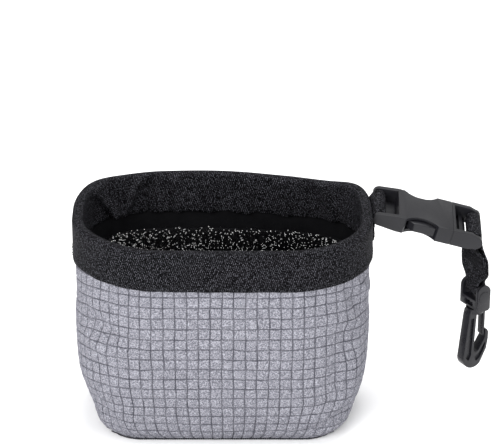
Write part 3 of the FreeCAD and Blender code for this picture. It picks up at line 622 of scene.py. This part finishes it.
def plastic_material(name, roughness):
    """Moulded black plastic with a fine grain and a patchy satin."""
    shader = Shader(name, roughness, Specular_IOR_Level=0.3)
    shader.colour(shader.mix(shader.noise(60, 3), *PLASTIC_SHADES))
    rough = shader.spread(shader.noise(240, 4), 0.3, 0.7, roughness - 0.06, roughness + 0.08)
    shader.link(rough, shader.surface.inputs["Roughness"])
    first = shader.bump(shader.noise(2400, 3), 0.05, 0.35)
    shader.bump(shader.noise(90, 2), 0.25, 0.12, first)
    return shader.material


def thread_material(name, shades):
    """Twisted thread."""
    shader = Shader(name, 0.7, Specular_IOR_Level=0.1)
    shader.colour(shader.mix(shader.noise(2500, 2), *shades))
    shader.bump(shader.noise(3200, 2), 0.08, 0.6)
    return shader.material


# Binding, liner and brush ----------------------------------------------------------------------------

def band_section():
    """Cross-section of the folded webbing as inset and height, round its closed outline."""
    outer, inner = BAND_FACE, MAT_AT + BAND_THICK
    rise = np.linspace(BAND_LOW, BAND_FOLD, 16)
    turn = np.linspace(math.pi, 0, 11)[1:-1]
    middle, half = (outer + inner) / 2, (inner - outer) / 2
    fold_x = middle + half * np.cos(turn)
    fold_z = BAND_FOLD + (RIM_TOP - BAND_FOLD) * np.sin(turn) ** 0.75
    back = np.linspace(BAND_LOW, BAND_FOLD - 0.2, 6)
    section = [(outer, z) for z in rise]
    section += list(zip(fold_x, fold_z))
    section += [(inner, z) for z in rise[::-1]]
    section += [(inner - BAND_THICK, z) for z in back]
    section += [(outer + BAND_THICK, z) for z in back[::-1]]
    return np.array(section)


def binding(material):
    """Folded webbing round the rim, puckered along its free edges and gathered inside at the back."""
    section = band_section()
    posts = 900
    share = np.linspace(0, 1, posts, endpoint=False)
    share, height = np.meshgrid(share, section[:, 1])
    inset = np.broadcast_to(section[:, :1], height.shape).copy()
    angle = share * 2 * math.pi
    outer_face = section[:, :1] < -0.5
    inner_face = section[:, :1] > MAT_AT + BAND_THICK / 2
    hang = smooth_step(103 - height, 0, 14)
    pucker = 0.35 * np.sin(angle * 31 + 1.2 * np.sin(angle * 5)) + 0.25 * np.sin(angle * 17 + 2)
    inset = inset + inner_face * hang * (0.5 + pucker)
    inset = inset - outer_face * hang * (0.12 + 0.16 * np.sin(angle * 23 + 3 * np.sin(angle * 3)))
    height = height - inner_face * hang * 0.8 * (0.5 + 0.5 * np.sin(angle * 15 + 2 * np.sin(angle * 4)))
    points = sway(outline(share, height, inset))
    points = band_folds(points, inner_face)
    length = np.concatenate([[0], np.cumsum(np.hypot(*np.diff(section, axis=0).T))])
    uv = np.stack([share * WALL_ROUND, np.broadcast_to(length[:, None], height.shape)], -1).reshape(-1, 2)
    faces = grid_faces(len(section), posts, wrap_rows=True, wrap_columns=True)
    add_piece("folded_binding", points.reshape(-1, 3), faces, material, uv, node="rim_binding")


# Folds of the inner lap along the back: upper and lower end as x and z, then width and depth.
BAND_FOLDS = [
    ((-60, 103), (-51, 86), 1.9, 2.6),
    ((-40, 103), (-48, 86), 1.8, 2.2),
    ((-33, 103), (-36, 86), 2.0, -1.6),
    ((-24, 102), (-22, 86), 2.2, 1.8),
    ((-8, 101), (-6, 86), 2.4, 1.3),
    ((12, 101), (12, 86), 2.6, 1.4),
    ((27, 102), (31, 86), 2.2, 1.6),
    ((40, 103), (42, 86), 2.0, -1.2),
    ((47, 103), (53, 86), 2.0, 2.0),
]
FOLD_DEEPER, FOLD_NARROWER = 1.5, 0.85


def band_folds(points, inner_face):
    """Pushes the inner lap in and out along its folds."""
    for start, end, width, amount in BAND_FOLDS:
        gap = line_share(points, start, end)[1]
        at_back = inner_face * (points[..., 1] > 0)
        points[..., 1] -= FOLD_DEEPER * amount * np.exp(-(gap / width / FOLD_NARROWER) ** 2) * at_back
    return points


def cloth_ring(name, nodes, low, high, inset, thick, material, ripple=0.0):
    """Thin closed wall between two heights."""
    steps, posts = 30, 360
    rise = np.linspace(low, high, steps)
    heights = np.concatenate([rise, rise[::-1]])
    insets = np.concatenate([np.full(steps, inset), np.full(steps, inset + thick)])
    share, height = np.meshgrid(np.linspace(0, 1, posts, endpoint=False), heights)
    depth = np.broadcast_to(insets[:, None], height.shape)
    points = outline(share, height, depth)
    wave = ripple * soft_noise(points, 26, 21) * (depth > inset + thick / 2)
    points = sway(outline(share, height, depth + wave))
    uv = np.stack([share * WALL_ROUND, height], -1).reshape(-1, 2)
    faces = grid_faces(len(heights), posts, wrap_rows=True, wrap_columns=True)
    add_piece(name, points.reshape(-1, 3), faces, material, uv, node=nodes)


def flat_floor(name, node, level, inset, height, thick, material):
    """Flat oval sheet inside the outline at a level, lying at a height."""
    lines, posts = 16, 120
    edge = outline(np.linspace(0, 1, posts, endpoint=False), level, inset)[:, :2]
    rings = np.linspace(0.02, 1, lines)
    flat = (rings[:, None, None] * edge[None]).reshape(-1, 2)
    count = len(flat)
    points = np.concatenate([
        np.column_stack([flat, np.full(count, height)]),
        np.column_stack([flat, np.full(count, height + thick)]),
    ])
    faces = grid_faces(lines, posts, wrap_columns=True).tolist()
    faces += grid_faces(lines, posts, wrap_columns=True, start=count)[:, ::-1].tolist()
    rim = count - posts + np.arange(posts)
    following = count - posts + (np.arange(posts) + 1) % posts
    faces += np.stack([rim, rim + count, following + count, following], -1).tolist()
    faces.append(list(range(posts - 1, -1, -1)))
    faces.append(list(range(count, count + posts)))
    add_piece(name, points, faces, material, points[:, :2], node=node)


def bristle_field(name, node, first_share, material):
    """Tufts of thin filaments that stand on one mat and lean a little, each its own way."""
    tufts_round, tufts_high, per_tuft = 84, 27, 5
    radii = (0.13, 0.12, 0.12, 0.23)      # at root, middle, neck and tip
    toward_tip = [0.0, 0.4, 0.8, 1.0]      # how near the tip, which the material reads to paint the tip highlight
    share = first_share + (np.arange(tufts_round) + 0.5) / tufts_round / 2
    height = np.linspace(BRUSH_LOW + 1.2, BRUSH_TOP - 2.6, tufts_high)
    share, height = np.meshgrid(share, height)
    share = share + (np.arange(tufts_high) % 2)[:, None] * 0.25 / tufts_round
    roots_at = np.stack([share.ravel(), height.ravel()], -1).repeat(per_tuft, axis=0)
    roots_at = roots_at[(roots_at[:, 0] > first_share + 0.002) & (roots_at[:, 0] < first_share + 0.498)]
    count = len(roots_at)
    random = np.random.default_rng(31 if first_share else 32)
    roots_at[:, 0] += random.normal(0, 0.0011, count)
    roots_at[:, 1] += random.normal(0, 0.42, count)
    root = sway(outline(roots_at[:, 0], roots_at[:, 1], BRISTLE_AT))
    tip_share = roots_at[:, 0] + random.normal(0, 0.0035, count)
    near_top = smooth_step(roots_at[:, 1], BRUSH_TOP - 9, BRUSH_TOP - 3)
    tip_height = roots_at[:, 1] + random.normal(0.25, 1.0, count) + 1.6 * near_top
    reach = BRISTLE_LONG * random.uniform(0.78, 1.04, count)
    tip = sway(outline(tip_share, np.clip(tip_height, 8, 80), BRISTLE_AT + reach))
    middle = (root + tip) / 2 + random.normal(0, 0.25, (count, 3))
    neck = tip + (middle - tip) * 0.16
    axis = tip - root
    axis /= np.linalg.norm(axis, axis=1, keepdims=True)
    side = np.cross(axis, [0, 0, 1.0])
    side /= np.linalg.norm(side, axis=1, keepdims=True) + 1e-9
    other = np.cross(axis, side)
    rings = []
    for centre, size in zip((root, middle, neck, tip), radii):
        for corner in range(3):
            angle = corner * 2 * math.pi / 3
            rings.append(centre + size * (math.cos(angle) * side + math.sin(angle) * other))
    points = np.stack(rings, axis=1).reshape(-1, 3)
    pattern = []
    for level in (0, 3, 6):
        for corner in range(3):
            beside = (corner + 1) % 3
            pattern.append((level + corner, level + beside, level + 3 + beside, level + 3 + corner))
    first = 12 * np.arange(count)
    quads = (np.array(pattern)[None] + first[:, None, None]).reshape(-1, 4)
    tips = np.array([9, 10, 11])[None] + first[:, None]
    heels = np.array([2, 1, 0])[None] + first[:, None]
    tones = {
        "tip": np.tile(np.repeat(toward_tip, 3), count),
        # A random number for each bristle that picks which tips get the painted highlight.
        "glint_pick": np.repeat(random.uniform(0, 1, count), 12),
    }
    faces = quads.tolist() + tips.tolist() + heels.tolist()
    add_piece(name, points, faces, material, node=node, tones=tones)


# Threads ---------------------------------------------------------------------------------------------

def capsules(starts, ends, radius, sides=6):
    """Short rounded rods between pairs of points."""
    starts, ends = np.asarray(starts, float), np.asarray(ends, float)
    axis = ends - starts
    length = np.linalg.norm(axis, axis=1, keepdims=True)
    axis = axis / length
    helper = np.where(np.abs(axis[:, 2:3]) > 0.9, [[1.0, 0, 0]], [[0, 0, 1.0]])
    side = np.cross(axis, helper)
    side /= np.linalg.norm(side, axis=1, keepdims=True)
    other = np.cross(axis, side)
    levels = ((0.0, 0.45), (0.08, 0.85), (0.3, 1.0), (0.7, 1.0), (0.92, 0.85), (1.0, 0.45))
    rings = []
    for share, swell in levels:
        for corner in range(sides):
            angle = corner * 2 * math.pi / sides
            rings.append(starts + axis * length * share
                         + radius * swell * (math.cos(angle) * side + math.sin(angle) * other))
    points = np.stack(rings, axis=1).reshape(-1, 3)
    each = len(levels) * sides
    faces = []
    for number in range(len(starts)):
        base = number * each
        faces += (grid_faces(len(levels), sides, wrap_columns=True) + base).tolist()
        faces.append([base + sides - 1 - corner for corner in range(sides)])
        faces.append([base + each - sides + corner for corner in range(sides)])
    return points, faces


def round_stitches(height, inset, count):
    """Starts and ends of stitches that run round the pouch."""
    share = np.arange(count) / count
    return sway(outline(share, height, inset)), sway(outline(share + STITCH_FILL / count, height, inset))


def join(parts):
    """One list of points and one of faces from several."""
    points, faces, start = [], [], 0
    for more_points, more_faces in parts:
        points.append(more_points)
        faces += [[index + start for index in face] for face in more_faces]
        start += len(more_points)
    return np.concatenate(points), faces


# Rigid pieces ----------------------------------------------------------------------------------------

def softened(node, body, material, width):
    """Copy of a CAD piece with its hard edges rounded over, by a width in millimetres."""
    same_point = 0.02 * MM
    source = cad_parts[node]
    work = bmesh.new()
    work.from_mesh(source.data)
    bmesh.ops.remove_doubles(work, verts=work.verts, dist=same_point)
    bmesh.ops.dissolve_limit(work, angle_limit=FLAT_ANGLE, verts=work.verts, edges=work.edges)
    mesh = bpy.data.meshes.new(f"{node}_soft")
    work.to_mesh(mesh)
    work.free()
    mesh.materials.clear()
    mesh.materials.append(material)
    piece = new_object(f"moulded_{node}", mesh)
    bevel = piece.modifiers.new("edges", "BEVEL")
    bevel.width = width * MM
    bevel.segments = 3
    bevel.limit_method = "ANGLE"
    bevel.angle_limit = EDGE_ANGLE
    bevel.use_clamp_overlap = True
    apply_modifiers(piece)
    piece.data.polygons.foreach_set("use_smooth", [True] * len(piece.data.polygons))
    piece.data.set_sharp_from_angle(angle=SHARP_ANGLE)
    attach(piece, body)
    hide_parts(node)


def apply_modifiers(piece):
    """Makes what the modifiers show into the piece's own mesh."""
    shown = piece.evaluated_get(bpy.context.evaluated_depsgraph_get())
    mesh = bpy.data.meshes.new_from_object(shown)
    piece.modifiers.clear()
    piece.data = mesh


# Webbing loops ---------------------------------------------------------------------------------------

def ribbon(name, stations, thickness, body, node, material):
    """Closed band of flat webbing with rounded edges, swept through its stations.

    A station is a centre, unit vectors across and outwards, a half width and a curl.
    """
    around_section = 24
    centres, sides, normals, half_widths, curl = (np.array(part, float) for part in zip(*stations))
    angle = np.linspace(0, 2 * math.pi, around_section, endpoint=False)
    wide = np.sign(np.cos(angle)) * np.abs(np.cos(angle)) ** 0.35
    thin = np.sign(np.sin(angle)) * np.abs(np.sin(angle)) ** 0.45
    bend = curl[:, None] * (wide[None] ** 2 - 0.3)
    points = (
        centres[:, None]
        + sides[:, None] * (half_widths[:, None] * wide[None])[..., None]
        + normals[:, None] * (thickness / 2 * thin[None] + bend)[..., None]
    )
    length = np.concatenate([[0], np.cumsum(np.linalg.norm(np.diff(centres, axis=0), axis=1))])
    uv = np.stack([
        np.broadcast_to(wide * half_widths.max(), points.shape[:2]),
        np.broadcast_to(length[:, None], points.shape[:2]),
    ], -1).reshape(-1, 2)
    faces = grid_faces(len(centres), around_section, wrap_rows=True, wrap_columns=True)
    add_piece(name, points.reshape(-1, 3), faces, material, uv, body=body, node=node)


def unit(vector):
    return vector / np.linalg.norm(vector)


STRAP_START = np.array(SOCKET_BAR + BUCKLE_TURN @ Vector((PLUG_BAR, 0, 0)))
STRAP_DROP = np.array(EYE) - STRAP_START


def strap_station(share):
    """Middle, width direction, outward normal, leaf gap, half width and curl at a share of the drop."""
    top_side = np.array(BUCKLE_TURN @ Vector((0, 1, 0)))
    low_side = np.array(HOOK_TURN @ Vector((0, 1, 0)))
    turn = float(smooth_step(share, 0.0, 0.5))
    side = unit(top_side * (1 - turn) + low_side * turn)
    out = unit(np.cross(side, STRAP_DROP))
    opening = float(1 - smooth_step(share, 0, 0.4) + smooth_step(share, 0.65, 1))
    gap = max((1.8 - 0.1 * share) * opening, 0.06) + WEB_THICK / 2
    half = LOOP_HALF - LOOP_PINCH * float(smooth_step(share, 0.66, 0.88))
    curl = 0.25 * math.sin(math.pi * share) ** 2
    return STRAP_START + STRAP_DROP * share, side, out, gap, half, curl


def leaf_point(share, across, sign, lift):
    """Point on the outside of one leaf, with across from -1 to 1."""
    centre, side, out, gap, half, curl = strap_station(share)
    bend = curl * (across**2 - 0.3)
    return centre + side * across * half + out * (sign * (gap + WEB_THICK / 2 + lift) + bend)


def strap(material, thread):
    """Webbing loop from the plug's bar, twisted to face as the hook does and pinched into its eye."""
    shares = np.linspace(0, 1, LOOP_STEPS)
    stations = [strap_station(share) for share in shares]
    slack = LOOP_SLACK * (1 - smooth_step(shares, 0.0, 0.09))
    path = [(c + out * (gap + loose), side, out, half, curl)
            for loose, (c, side, out, gap, half, curl) in zip(slack, stations)]
    path += around(stations[-1], -1, EYE_TURN, EYE_TURN)
    path += [(c - out * gap, side, -out, half, -curl) for c, side, out, gap, half, curl in reversed(stations)]
    path += around(stations[0], 1, BAR_TURN, BAR_TURN + LOOP_SLACK)
    ribbon("webbing_loop", path, WEB_THICK, "strap", "strap_loop", material)
    marks = []
    for sign in (1, -1):
        trail = [(TACK_FROM + TACK_LONG * t, TACK_WIDE * math.sin(t * 6 * math.pi))
                 for t in np.linspace(0, 1, 40)]
        trail += [(TACK_FROM + TACK_LONG - TACK_LONG * t, -TACK_WIDE * math.sin(t * 5 * math.pi))
                  for t in np.linspace(0, 1, 34)]
        dots = [leaf_point(share, across, sign, 0.1) for share, across in trail]
        marks += list(zip(dots[:-1], dots[1:]))
    points, faces = capsules(*zip(*marks), TACK_THREAD)
    add_piece("loop_tack", points, faces, thread, body="strap", node="strap_stitching")


def around(station, direction, first_radius, last_radius):
    """Half turn of the ribbon round a bar, from the first leaf to the second or back."""
    centre, side, out, _, half, _ = station
    first = -out * direction
    beyond = -unit(STRAP_DROP) * direction
    turn = []
    for angle in np.linspace(0, math.pi, 12)[1:-1]:
        outwards = first * math.cos(angle) + beyond * math.sin(angle)
        radius = first_radius + (last_radius - first_radius) * angle / math.pi
        turn.append((centre + outwards * radius, side, outwards, half, 0.0))
    return turn


def slab(name, middle, thickness, material, body, node):
    """Cloth of even thickness on a grid of points, with a smooth closed edge."""
    normal = outward(middle)
    rows, columns = middle.shape[:2]
    edge = np.ones((rows, columns))
    edge[:, [0, -1]] = 0.55
    lift = (thickness / 2 * edge)[..., None] * normal
    points = np.concatenate([(middle + lift).reshape(-1, 3), (middle - lift).reshape(-1, 3)])
    step = np.linalg.norm(np.diff(middle, axis=0), axis=-1).mean(axis=1)
    along = np.concatenate([[0], np.cumsum(step)])
    wide = np.linalg.norm(middle[0, -1] - middle[0, 0])
    uv = np.stack(np.broadcast_arrays(np.linspace(0, wide, columns)[None], along[:, None]), -1)
    uv = np.concatenate([uv.reshape(-1, 2)] * 2)
    add_piece(name, points, sheet_faces(rows, columns), material, uv, body=body, node=node)


def tab(material, thread):
    """Webbing sewn to the side of the binding, out over the socket's bar and back under it."""
    share = np.linspace(-0.02, 0.12, 300)
    depths = np.linspace(TAB_FRONT, TAB_BACK, 15)

    def on_wall(height, lift):
        """Points across the tab at a height, lifted off the binding."""
        wall = sway(outline(share, height, -1.25 - lift))
        order = np.argsort(wall[:, 1])
        return np.stack([np.interp(depths, wall[order, 1], wall[order, axis]) for axis in range(3)], -1)

    across = np.array(BUCKLE_TURN @ Vector((0, 1, 0)))
    bar = np.array(SOCKET_BAR) + (depths - SOCKET_BAR.y)[:, None] * across
    rows = [on_wall(height, WEB_THICK / 2) for height in np.linspace(TAB_LOW, TAB_HIGH, 14)]
    top_row = rows[-1]
    over = bar + np.array([-1.2, 0, TAB_TURN])
    for step in (0.35, 0.7):
        rows.append(top_row * (1 - step) + over * step + np.array([0, 0, 0.9 * step]))
    for angle in np.radians(np.linspace(105, -110, 16)):
        turn = np.array(BUCKLE_TURN @ Vector((math.cos(angle), 0, math.sin(angle))))
        rows.append(bar + TAB_TURN * turn)
    rows.append((rows[-1] + on_wall(101.2, 0.9)) / 2)
    slab("side_tab", np.stack(rows), WEB_THICK, material, "pouch", "tab_webbing")
    marks = []
    for height in TAB_ROWS_SEWN:
        line = on_wall(height, WEB_THICK + 0.1)[1:-1]
        marks += [(start, start + STITCH_FILL * (end - start)) for start, end in zip(line[:-1], line[1:])]
    points, faces = capsules(*zip(*marks), FINE_THREAD)
    add_piece("tab_stitches", points, faces, thread, node="tab_stitching")


def seams(black_thread, side_thread, base_thread):
    """Rows of the binding, the roll and notches of the base seam, and the two side seams."""
    insets = (BAND_FACE - 0.3, MAT_AT + BAND_THICK + 0.9)
    rows = [round_stitches(BAND_STITCH_AT, inset, BAND_STITCHES) for inset in insets]
    points, faces = join([capsules(start, end, FINE_THREAD) for start, end in rows])
    add_piece("binding_stitches", points, faces, black_thread, node="rim_stitching")

    columns = np.arange(2 * CELLS_ROUND) / (2 * CELLS_ROUND)
    notches = capsules(outline(columns, 0.45, 0.1), sway(outline(columns, 2.3, -0.05)), NOTCH_THREAD)
    roll = outline(np.linspace(0, 1, 361), 0.35, 0.15)
    points, faces = join([notches, capsules(roll[:-1], roll[1:], ROLL_THREAD)])
    add_piece("base_stitches", points, faces, base_thread, node="base_stitching")

    low, pitch, long = 6, 2.6, 1.9
    feet = np.arange(low, BAND_LOW - 2, pitch)
    sides = []
    for share in (0.0, 0.5):
        start, end = (sway(outline(share, height, FLEECE_FACE)) for height in (feet, feet + long))
        sides.append(capsules(start, end, SIDE_ROW_THREAD))
    points, faces = join(sides)
    add_piece("side_stitches", points, faces, side_thread, node="side_seams")


# Scene -----------------------------------------------------------------------------------------------

def build():
    """Makes every visible piece; each stands for one or two CAD nodes."""
    fleece = fleece_material()
    webbing = webbing_material("binding_webbing", rib=0.9, pick=1.15)
    strap_web = webbing_material("strap_webbing", rib=1.0, pick=1.3)
    liner = liner_material()
    backing = mat_material()
    bristles = bristle_material()
    black_thread = thread_material("black_thread", BLACK_THREAD)
    side_thread = thread_material("side_thread", SIDE_THREAD)
    base_thread = thread_material("base_thread", BASE_THREAD)
    plastic = plastic_material("buckle_plastic", 0.34)
    hook_plastic = plastic_material("hook_plastic", 0.3)

    fleece_panel("front_fleece", "shell_front", 0.5, fleece)
    fleece_panel("back_fleece", "shell_back", 0.0, fleece)
    base_panel(fleece)
    binding(webbing)
    cloth_ring("wall_liner", ["liner_front", "liner_back"], LINER_LOW, LINER_TOP, LINER_AT, LINER_THICK,
               liner, ripple=0.3)
    flat_floor("floor_liner", "liner_base", LINER_LOW, 3.4, LINER_FLOOR, LINER_THICK, liner)
    cloth_ring("brush_backing", ["bristle_mat_front", "bristle_mat_back"], BRUSH_LOW, BRUSH_TOP - 2,
               MAT_AT, MAT_THICK, backing)
    bristle_field("back_bristles", "bristles_back", 0.0, bristles)
    bristle_field("front_bristles", "bristles_front", 0.5, bristles)
    seams(black_thread, side_thread, base_thread)

    for node, body in (
        ("buckle_female", "socket"), ("buckle_male", "plug"),
        ("buckle_prong_near", "near_prong"), ("buckle_prong_far", "far_prong"),
    ):
        softened(node, body, plastic, BUCKLE_EDGE)
    for node, body in (("hook_yoke", "eye"), ("hook_body", "hook"), ("hook_gate", "gate")):
        softened(node, body, hook_plastic, HOOK_EDGE)
    strap(strap_web, black_thread)
    tab(strap_web, black_thread)


def aimed(name, data, spot, aim):
    """Camera or light at a spot, turned to its aim."""
    item = new_object(name, data)
    item.location = spot
    item.rotation_euler = (Vector(aim) - Vector(spot)).to_track_quat("-Z", "Y").to_euler()
    return item


def camera():
    """Camera a little above the pouch, straight in front of it."""
    spot = CAMERA_AIM + CAMERA_AWAY * Vector((0, -math.cos(CAMERA_RISE), math.sin(CAMERA_RISE)))
    data = bpy.data.cameras.new("camera")
    data.sensor_width = SENSOR_WIDE
    data.lens = SENSOR_WIDE * CAMERA_AWAY / VIEW_WIDE
    bpy.context.scene.camera = aimed("camera", data, spot, CAMERA_AIM)


def light(name, spot, aim, size, power):
    """Soft rectangular light."""
    data = bpy.data.lights.new(name, "AREA")
    data.shape = "RECTANGLE"
    data.size, data.size_y = size
    data.energy = power
    aimed(name, data, spot, aim)


def studio():
    """White surroundings, soft lights and a pale floor."""
    world = bpy.data.worlds.new("studio")
    bpy.context.scene.world = world
    world.use_nodes = True
    sky = world.node_tree.nodes["Background"]
    sky.inputs["Color"].default_value = (1, 1, 1, 1)
    sky.inputs["Strength"].default_value = SKY_STRENGTH
    for name, row in LIGHTS.items():
        light(name, *row)
    mesh = bpy.data.meshes.new("floor")
    corners = [(x * FLOOR_REACH, y * FLOOR_REACH, 0) for x, y in ((-1, -1), (1, -1), (1, 1), (-1, 1))]
    mesh.from_pydata(corners, [], [(0, 1, 2, 3)])
    floor = new_object("floor", mesh)
    shader = Shader("pale_floor", 0.9, Specular_IOR_Level=0.1)
    shader.colour(FLOOR_SHADE)
    mesh.materials.append(shader.material)
    bpy.context.scene.view_settings.view_transform = "Standard"


camera()
studio()
build()
